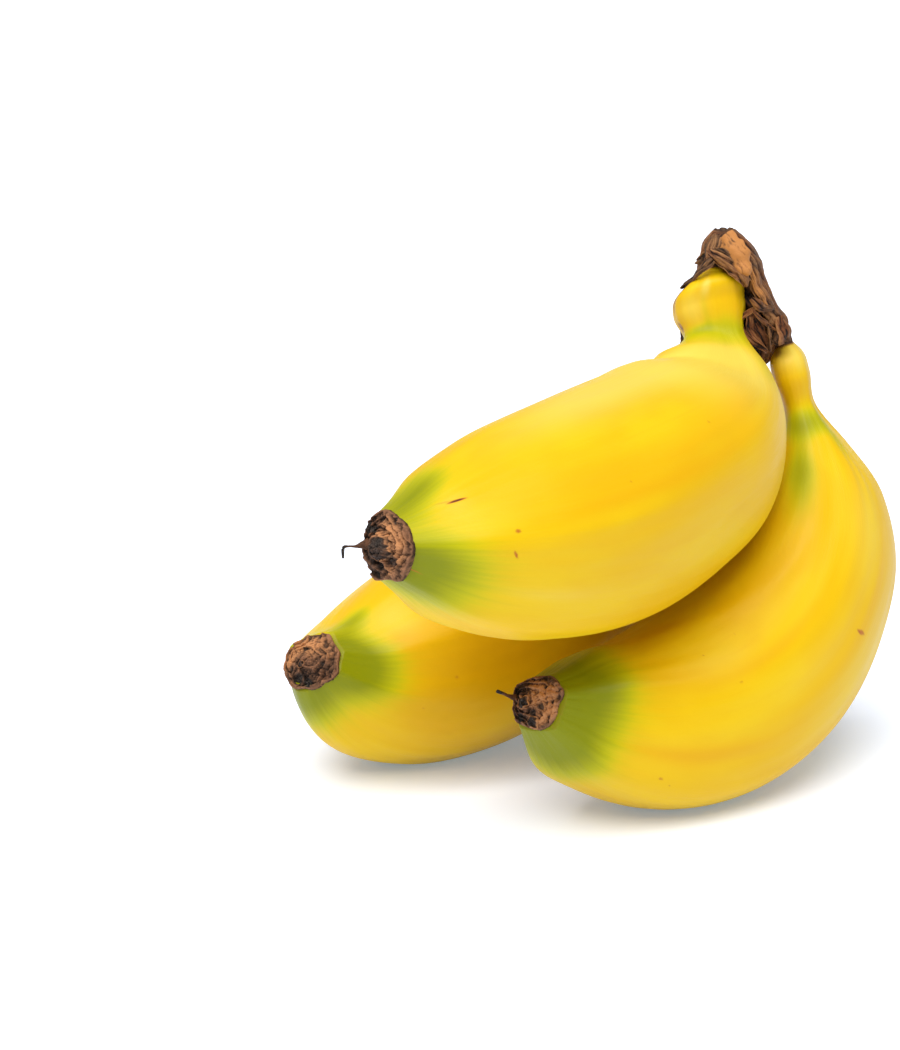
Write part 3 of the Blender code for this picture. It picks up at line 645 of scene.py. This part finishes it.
def dry_material(name, group, size, crease_shade, grey, red, crest, tan, roughness):
    """Dead plant skin, greyer and redder in stains, painted with shade: dark in the folds, lighter on their
    crests.

    The attributes of the mesh steer it: fold from the painted shade in the creases to the crest, tone
    towards tan, red towards the redder brown, rim for the pale dry edge, and the black value for the
    charred parts and for painted shade in the crown's hollows.
    """
    material, shader, n = new_material(name, roughness)
    shader.inputs["Specular IOR Level"].default_value = 0.18
    node = material.node_tree.nodes.new("ShaderNodeGroup")
    node.node_tree = group
    node.inputs["Size"].default_value = size
    threads, blotches, stains = (node.outputs[label] for label in ("Threads", "Blotches", "Stains"))
    redness = n.sway(n.read("red"), stains, 2.2)
    brown = n.mix(n.ramp(redness, 0.0, 1.0), grey, red)
    fold = n.sway(n.sway(n.read("fold"), threads, 0.55), blotches, 0.7)
    # Painted shade: the skin darkens towards near black down in its creases and folds.
    colour = n.mix(n.ramp(fold, 0.10, 0.55), crease_shade, brown)
    colour = n.mix(n.ramp(fold, 0.50, 1.0), colour, n.mix(0.55, brown, crest))
    tanned = n.mix(n.ramp(fold, 0.18, 0.80), brown, tan)
    colour = n.mix(n.ramp(n.read("tone"), 0.15, 0.95), colour, tanned)
    colour = n.mix(n.math("MULTIPLY", n.read("rim"), 0.65), colour, crest)
    # Black of the charred knobs and the style's tip, painted shade in the crown's hollows, and a dark line
    # round the cut face.
    colour = n.mix(n.read("char_and_hollow_shade"), colour, n.mix(n.ramp(threads, 0.4, 0.75), CHAR_AND_SHADE_BLACK, CHAR_AND_SHADE_GREY))
    n.tree.links.new(colour, shader.inputs["Base Color"])
    n.tree.links.new(n.bump(threads, 0.0003, 0.7), shader.inputs["Normal"])
    return material


fibre = fibre_group()
dry_flower = dry_material(
    "dried flower scales", fibre, size=1.0, crease_shade=(0.016, 0.007, 0.003), grey=(0.080, 0.039, 0.021),
    red=(0.13, 0.048, 0.020), crest=(0.34, 0.155, 0.078), tan=(0.46, 0.205, 0.082), roughness=0.75)

for index, (name, flower) in enumerate(FLOWERS.items()):
    grid, painted = flower_surface(FINGERS[name], flower, 300 + 20 * index)
    piece = loft("flower_remains_" + name, grid, dry_flower, painted)
    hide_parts("blossom_tip_" + name)
    if "style" in flower:
        middle, ahead, across, side = fine_end(FINGERS[name])
        x, y, rise = flower["style_root"]
        root = middle + x * across + y * side + rise * ahead
        path = [root + out * ahead + aside * side - (0, 0, down) for out, aside, down in flower["style"]]
        grid = tube(path, flower["style_radii"])
        away = np.linspace(0, 1, len(grid))[:, None] + np.zeros(grid.shape[:2])
        shade = {"fold": 0.45 + 0 * away, "char_and_hollow_shade": np.clip((away - 0.6) * 5, 0, 1), "rim": 0 * away,
                 "tone": 0.2 + 0 * away, "red": 0.5 + 0 * away}
        loft("dried_style_" + name, grid, dry_flower, shade)

# Crown: the dead pad of the stem that the three stalks grew from, dried to brown leather. Its skin hangs
# in long folds and torn leaves over the stalks, and its back is the fibrous face of the cut.

# Height of each section, its middle, half width and depth to the front and to the back, in millimetres.
CROWN_SECTIONS = (
    (66.0, 25.2, 31.5, 4.8, 3.5, 4.0),
    (68.0, 25.0, 31.8, 8.6, 5.9, 6.0),
    (72.0, 24.7, 32.1, 9.7, 7.2, 7.0),
    (77.0, 24.2, 32.2, 7.2, 8.0, 7.4),
    (81.5, 23.5, 31.6, 5.9, 7.6, 7.6),
    (85.0, 23.4, 30.0, 5.0, 6.6, 7.2),
    (88.5, 22.7, 29.4, 3.4, 5.0, 5.6),
    (90.3, 22.4, 29.4, 1.9, 3.0, 3.2),
)
CROWN_RINGS, CROWN_SIDES = 220, 400
CROWN_LEAN = 0.9
# Hollows and deep folds: height, angle round, half height, half width, lean, depth and how black they are
# painted, which is painted shade.
CROWN_HOLES = (
    (81.6, 303, 2.3, 0.8, 0.25, 1.8, 1.0), (77.0, 290, 0.8, 1.6, 0.2, 1.2, 1.0),
    (76.0, 322, 0.9, 1.1, 0.0, 1.6, 1.0), (75.8, 334, 0.9, 0.6, 0.3, 1.0, 0.9),
    (74.5, 300, 3.6, 3.0, 0.2, 1.2, 0.7), (70.0, 300, 2.2, 1.6, -0.2, 2.2, 1.0),
    (89.2, 244, 0.8, 1.5, 0.0, 1.0, 1.0), (84.4, 205, 1.2, 1.0, 0.0, 0.9, 0.9),
    (74.2, 287, 3.2, 2.6, 0.3, 2.6, 0.0), (83.6, 330, 1.6, 0.6, 0.3, 0.8, 0.8),
    (79.4, 322, 1.0, 0.7, 0.4, 0.8, 0.9), (86.6, 262, 0.5, 1.4, 0.0, 0.6, 0.7),
    (84.4, 244, 2.2, 2.4, 0.0, 3.7, 0.4), (80.8, 276, 2.2, 2.4, 0.0, 3.0, 0.0),
    (83.6, 260, 2.0, 2.2, 0.0, 4.0, 0.6), (68.8, 327, 2.6, 2.6, 0.0, 3.2, 0.0),
)
CROWN_MIDDLE = (23.6, 31.6)
CROWN_SHEET, HOLE_RADIUS = 7, 6.5
# Height of the crown's big and small folds and of its threads, and their usual level.
BIG_FOLDS, SMALL_FOLDS, FOLD_THREADS = (1.05, 0.7), (0.32, 0.4), (0.12, 0.4)


def crown_surface():
    """Rings of the crown: rounded in front and square at the back, with its skin raised in folds.

    The folds are crumpled fields stretched upwards and leaning round the crown. Each hole is a bell
    pressed in and, most of them, darkened with painted shade, and the cut face at the back carries finer
    fibres that swirl.
    """
    table = np.array(CROWN_SECTIONS)
    heights = np.linspace(table[0, 0], table[-1, 0], CROWN_RINGS)
    middle_x, middle_y, width, front, back = smooth_curve(table[:, 0], table[:, 1:], heights).T
    around = np.linspace(0, 2 * math.pi, CROWN_SIDES, endpoint=False)
    share = ((heights - heights[0]) / (heights[-1] - heights[0]))[:, None]
    turned = around[None, :] + CROWN_LEAN * share
    wound = np.stack([CROWN_SHEET * np.cos(turned), CROWN_SHEET * np.sin(turned),
                      np.broadcast_to(heights[:, None], turned.shape)], axis=2)
    cut = np.clip((np.sin(around) - 0.62) / 0.12, 0, 1)[None, :] * np.clip(share * 7 - 0.6, 0, 1) * np.clip(
        (1 - share) * 8 - 0.6, 0, 1)
    big = folds(wound * (1, 1, 0.22), 4.2, 501)
    small = folds(wound * (1, 1, 0.25), 1.7, 502)
    thread = folds(wound * (1, 1, 0.14), 0.75, 503)
    swirl = folds(wound * (1, 1, 0.9) + 0.8 * crumple(wound, 6.0, 504)[..., None], 1.5, 505)
    calm = 1 - 0.8 * share ** 12
    creased = sum(height * (field - level) for field, (height, level) in (
        (big, BIG_FOLDS), (small, SMALL_FOLDS), (thread, FOLD_THREADS)))
    fibrous = 0.5 * (swirl - 0.5) + 0.12 * (thread - 0.4) - 0.5
    relief = calm * (1 - cut) * creased + cut * fibrous
    char_and_hollow_shade = np.zeros(relief.shape)
    for height, angle, tall, wide, lean, depth, hollow_shade in CROWN_HOLES:
        aside = (np.degrees(around)[None, :] - angle + 180) % 360 - 180
        aside = aside * math.pi / 180 * HOLE_RADIUS
        above = heights[:, None] - height
        bell = np.exp(-(above / tall) ** 2 - ((aside + lean * above) / wide) ** 2)
        relief = relief - depth * bell
        # Painted shade: each hole is also painted dark, as far as its last column says.
        char_and_hollow_shade = np.maximum(char_and_hollow_shade, hollow_shade * bell)
    sine = np.sin(around)
    reach_x = np.sign(np.cos(around)) * np.abs(np.cos(around)) ** np.where(sine < 0, 1.0, 0.77)
    reach_y = np.sign(sine) * np.abs(sine) ** np.where(sine < 0, 1.0, 0.62)
    depth = np.where(sine[None, :] < 0, front[:, None], back[:, None])
    grid = np.stack([
        middle_x[:, None] + (width[:, None] + relief) * reach_x,
        middle_y[:, None] + (depth + relief) * reach_y,
        np.broadcast_to(heights[:, None], relief.shape) + 0.3 * share ** 6 * (big - 0.7)], axis=2)
    fold = np.clip(-0.20 + 0.60 * big + 0.34 * small + 0.26 * thread, 0, 1) * (1 - cut) + cut * np.clip(
        0.15 + 0.75 * swirl + 0.2 * thread, 0, 1)
    edge = np.exp(-((cut - 0.5) / 0.3) ** 2)
    return grid, {"fold": fold, "char_and_hollow_shade": np.maximum(char_and_hollow_shade, 0.8 * edge), "rim": 0 * fold,
                  "tone": 0.10 + 0.25 * cut, "red": 0.45 + 0.9 * cut + 0 * fold}


LEAF_RINGS, LEAF_SIDES = 130, 72
LEAF_WAVE, LEAF_CREASE, LEAF_THREAD = 0.22, 0.42, 0.12
TAN_CALM = 0.7


def leaf_surface(path, widths, curl, cup, thickness, tan, red, pale, seed):
    """Rings of a torn leaf of skin: across a smooth path, out over its outer face and back inside.

    Each cross line bends away from the crown by curl times the square of the way out from the middle and
    tilts by cup. Slow waves, creases and fine threads run along the leaf, and a tan leaf is the smoothest.
    Its edges are ragged and thin out to nothing.
    """
    places = np.linspace(0, 1, len(path))
    along = np.linspace(0, 1, LEAF_RINGS)
    points = smooth_curve(places, path, along)
    width = smooth_curve(places, widths, along)[:, None]
    ahead = np.gradient(points, axis=0)
    ahead /= np.linalg.norm(ahead, axis=1, keepdims=True)
    out = points - np.stack([np.full(LEAF_RINGS, CROWN_MIDDLE[0]), np.full(LEAF_RINGS, CROWN_MIDDLE[1]),
                             points[:, 2] - 1.0], axis=1)
    out -= (out * ahead).sum(axis=1, keepdims=True) * ahead
    out /= np.linalg.norm(out, axis=1, keepdims=True)
    across = np.cross(out, ahead)
    turn = np.linspace(0, 2 * math.pi, LEAF_SIDES, endpoint=False)[None, :]
    aside = np.cos(turn)
    face = np.sign(np.sin(turn)) * np.abs(np.sin(turn)) ** 0.6
    length = np.linalg.norm(np.diff(points, axis=0), axis=1).sum()
    place = np.stack([np.broadcast_to(along[:, None] * length, (LEAF_RINGS, LEAF_SIDES)), width * aside,
                      np.zeros((LEAF_RINGS, LEAF_SIDES))], axis=2)
    ragged = 1 + 0.06 * crumple(place * (1, 0.3, 1), 2.6, seed)
    wave = crumple(place * (0.8, 0.8, 1), 3.2, seed + 3)
    crease = folds(place * (0.22, 1, 1), 1.5, seed + 1)
    thread = folds(place * (0.12, 1, 1), 0.55, seed + 2)
    rough = 1 - TAN_CALM * tan ** 4
    lift = (curl * aside ** 2 + cup * aside + LEAF_WAVE * wave
            + rough * (LEAF_CREASE * (crease - 0.4) + LEAF_THREAD * (thread - 0.4)))
    grid = (points[:, None] + (width * ragged * aside)[..., None] * across[:, None]
            + (lift + thickness / 2 * face)[..., None] * out[:, None])
    edge = np.clip(np.abs(aside) * 5 - 4.0, 0, 1) + 0 * width
    fold = np.clip(0.06 + 0.55 * crease + 0.45 * thread + 0.2 * edge, 0, 1)
    return grid, {"fold": np.clip(fold + 0.35 * tan - 0.12, 0, 1), "char_and_hollow_shade": 0 * fold, "rim": pale * edge,
                  "tone": tan + 0 * fold, "red": red + 0 * fold}


dry_skin = dry_material(
    "dried crown skin", fibre, size=0.8, crease_shade=(0.010, 0.004, 0.002), grey=(0.100, 0.048, 0.022),
    red=(0.165, 0.052, 0.015), crest=(0.42, 0.20, 0.075), tan=(0.46, 0.19, 0.052), roughness=0.6)

grid, painted = crown_surface()
crown = loft("dried_crown", grid, dry_skin, painted)
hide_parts("crown")

# Torn leaves: the path of each, the half width along it, how far it curls out and tilts, its thickness,
# and how tan, how red and how pale at the edge its skin is.
LEAVES = {
    "top_pad": (
        ((20.6, 28.0, 89.9), (20.3, 27.0, 89.0), (20.0, 26.5, 88.1), (20.3, 25.9, 87.4),
         (20.9, 25.4, 86.9)),
        (1.2, 1.9, 1.8, 1.3, 0.5), -0.5, 0.0, 0.6, 0.25, -0.3, 0.3),
    "tan_tongue": (
        ((21.8, 26.6, 90.0), (22.9, 24.9, 88.8), (24.2, 23.8, 87.5), (25.3, 23.1, 86.1),
         (26.2, 22.9, 84.4)),
        (2.0, 2.5, 2.3, 1.6, 0.6), -0.7, 0.0, 0.7, 1.0, 0.3, 0.1),
    "stalk_lip": (
        ((19.2, 26.6, 87.6), (20.8, 24.7, 87.0), (22.5, 23.8, 86.2), (23.9, 23.2, 85.2),
         (25.1, 23.0, 84.0), (26.0, 23.5, 82.2)),
        (0.55, 1.05, 1.2, 1.2, 1.1, 0.5), -0.25, 0.15, 0.45, 0.25, 0.5, 1.0),
    "under_lip": (
        ((20.4, 25.8, 87.9), (22.2, 24.6, 87.5), (24.0, 23.9, 86.4), (25.4, 23.7, 84.8),
         (26.2, 24.0, 83.2)),
        (0.6, 0.9, 1.1, 1.0, 0.5), -0.2, -0.1, 0.5, 0.25, 0.1, 0.5),
    "left_knob": (
        ((19.5, 27.2, 87.2), (18.8, 28.0, 86.4), (18.3, 28.6, 85.6), (18.1, 28.9, 84.9)),
        (0.4, 0.9, 0.9, 0.4), -0.4, 0.0, 0.6, 0.15, -0.2, 0.3),
    "left_strip": (
        ((20.2, 24.7, 86.6), (19.2, 24.5, 85.8), (18.1, 24.7, 84.6), (16.9, 25.1, 83.3),
         (15.7, 26.1, 82.0), (15.0, 26.8, 81.1)),
        (0.75, 0.8, 0.65, 0.5, 0.45, 0.25), -0.2, 0.0, 0.4, 0.0, -0.5, 0.2),
    "side_strap": (
        ((25.9, 26.8, 87.0), (26.9, 26.4, 85.4), (27.7, 26.0, 83.4), (28.4, 25.6, 81.0),
         (29.6, 26.0, 78.6), (31.2, 26.9, 76.2), (32.6, 28.0, 73.8)),
        (0.6, 1.0, 1.0, 1.2, 1.3, 1.4, 1.2), -0.5, 0.0, 0.5, 0.30, 0.4, 0.5),
    "outer_strap": (
        ((25.3, 28.0, 87.4), (26.2, 28.2, 84.8), (26.9, 28.4, 82.4), (28.3, 28.6, 79.4),
         (30.0, 29.0, 76.4), (31.9, 29.8, 73.8), (33.4, 30.4, 71.8)),
        (0.6, 0.9, 0.9, 1.0, 1.1, 1.2, 0.9), -0.5, 0.0, 0.5, 0.12, 0.4, 0.3),
    "tan_cord": (
        ((26.6, 24.9, 86.2), (26.7, 24.3, 84.4), (27.4, 24.5, 82.6), (28.3, 24.7, 80.8),
         (29.2, 25.0, 79.2), (30.2, 25.6, 77.6)),
        (0.25, 0.45, 0.5, 0.5, 0.4, 0.2), -0.2, 0.0, 0.5, 0.9, 0.2, 0.4),
    "side_cord": (
        ((27.2, 26.2, 84.0), (27.7, 26.3, 82.0), (28.7, 26.6, 79.9), (30.0, 27.2, 77.8),
         (31.4, 28.0, 75.8)),
        (0.2, 0.4, 0.45, 0.4, 0.2), -0.2, 0.0, 0.45, 0.85, 0.2, 0.4),
    "knot": (
        ((26.8, 24.2, 79.9), (27.8, 24.0, 79.0), (28.9, 24.3, 78.3), (30.1, 25.2, 78.0),
         (31.0, 26.2, 77.6)),
        (0.4, 0.8, 0.9, 0.7, 0.3), -0.3, 0.0, 0.5, 0.0, 0.5, 0.4),
    "cup_rim": (
        ((27.6, 25.0, 78.4), (26.6, 24.8, 77.6), (25.1, 24.5, 76.0), (25.6, 24.4, 74.4),
         (26.6, 24.6, 72.8), (28.2, 25.4, 71.1), (29.6, 26.2, 69.8)),
        (0.25, 0.35, 0.4, 0.4, 0.4, 0.35, 0.2), 0.0, 0.1, 0.4, 0.2, 0.8, 0.5),
    "cup_skin": (
        ((26.9, 25.6, 77.2), (26.9, 25.6, 75.8), (27.5, 25.7, 74.2), (28.5, 26.0, 72.4),
         (29.7, 26.8, 70.4)),
        (0.9, 1.6, 1.7, 1.4, 0.5), 0.7, 0.0, 0.4, 0.0, 1.0, 0.2),
    "cup_brow": (
        ((26.9, 24.4, 78.0), (27.7, 24.3, 77.0), (28.7, 24.5, 75.9), (30.2, 25.4, 74.9),
         (31.4, 26.3, 73.8)),
        (0.25, 0.35, 0.4, 0.4, 0.2), 0.0, 0.0, 0.4, 0.25, 0.8, 0.5),
    # The cup's wall has a tan below zero, which darkens it as painted shade inside the cup.
    "cup_wall": (
        ((30.3, 26.3, 76.2), (30.1, 26.2, 74.8), (30.3, 26.3, 73.2), (30.4, 26.7, 71.6),
         (30.2, 27.2, 69.9)),
        (0.4, 0.7, 0.8, 0.7, 0.4), 0.2, 0.0, 0.4, -0.3, 0.2, 0.1),
    "neck_lobe": (
        ((32.0, 27.3, 76.0), (32.4, 27.0, 74.8), (32.8, 27.0, 73.6), (33.0, 27.1, 72.4),
         (33.1, 27.3, 71.7)),
        (1.0, 1.5, 1.9, 2.2, 1.9), -0.7, 0.0, 0.45, 0.1, 0.9, 0.2),
    "loose_bit": (
        ((30.6, 26.5, 71.9), (31.4, 26.4, 71.4), (32.4, 26.5, 71.5), (33.4, 26.9, 71.7)),
        (0.1, 0.3, 0.3, 0.1), 0.0, 0.0, 0.3, 0.0, 0.2, 0.2),
}
for index, (name, leaf) in enumerate(LEAVES.items()):
    grid, painted = leaf_surface(*leaf, 600 + 10 * index)
    loft("crown_" + name, grid, dry_skin, painted)

# Floor, light and camera: a plain pale floor that glows faintly, like a lit sheet of paper, under one
# broad soft light and a white sky. The camera looks down a little, from the photograph's angle.
FLOOR_REACH, FLOOR_COLOUR = 3.0, (0.90, 0.92, 0.97, 1.0)
FLOOR_GLOW, FLOOR_GLOW_STRENGTH = (0.45, 0.66, 1.0, 1.0), 0.26
LIGHT_STRENGTH, LIGHT_SPREAD, LIGHT_TURN, SKY_STRENGTH = 4.2, 60.0, (22.0, -8.0, 0.0), 0.35
CAMERA_PLACE, CAMERA_TURN, CAMERA_LENS = (-0.02453, -0.66881, 0.26448), (72.0, 0.0, 0.0), 144.0

floor_paint, floor_shader, n = new_material("pale floor", 0.6)
floor_shader.inputs["Base Color"].default_value = FLOOR_COLOUR
floor_shader.inputs["Emission Color"].default_value = FLOOR_GLOW
floor_shader.inputs["Emission Strength"].default_value = FLOOR_GLOW_STRENGTH
corners = [(x * FLOOR_REACH, y * FLOOR_REACH, 0) for x, y in ((-1, -1), (1, -1), (1, 1), (-1, 1))]
floor_mesh = bpy.data.meshes.new("floor")
floor_mesh.from_pydata(corners, [], [(0, 1, 2, 3)])
floor_mesh.materials.append(floor_paint)
floor = bpy.data.objects.new("floor", floor_mesh)
bpy.context.scene.collection.objects.link(floor)

light = bpy.data.lights.new("broad soft light", "SUN")
light.energy, light.angle = LIGHT_STRENGTH, math.radians(LIGHT_SPREAD)
lamp = bpy.data.objects.new("broad soft light", light)
lamp.rotation_euler = [math.radians(turn) for turn in LIGHT_TURN]
bpy.context.scene.collection.objects.link(lamp)

world = bpy.data.worlds.new("studio")
world.use_nodes = True
world.node_tree.nodes["Background"].inputs["Color"].default_value = (1.0, 1.0, 1.0, 1.0)
world.node_tree.nodes["Background"].inputs["Strength"].default_value = SKY_STRENGTH
bpy.context.scene.world = world
bpy.context.scene.view_settings.view_transform = "Standard"

camera = bpy.data.cameras.new("camera")
camera.lens = CAMERA_LENS
viewer = bpy.data.objects.new("camera", camera)
viewer.location = CAMERA_PLACE
viewer.rotation_euler = [math.radians(turn) for turn in CAMERA_TURN]
bpy.context.scene.collection.objects.link(viewer)
bpy.context.scene.camera = viewer
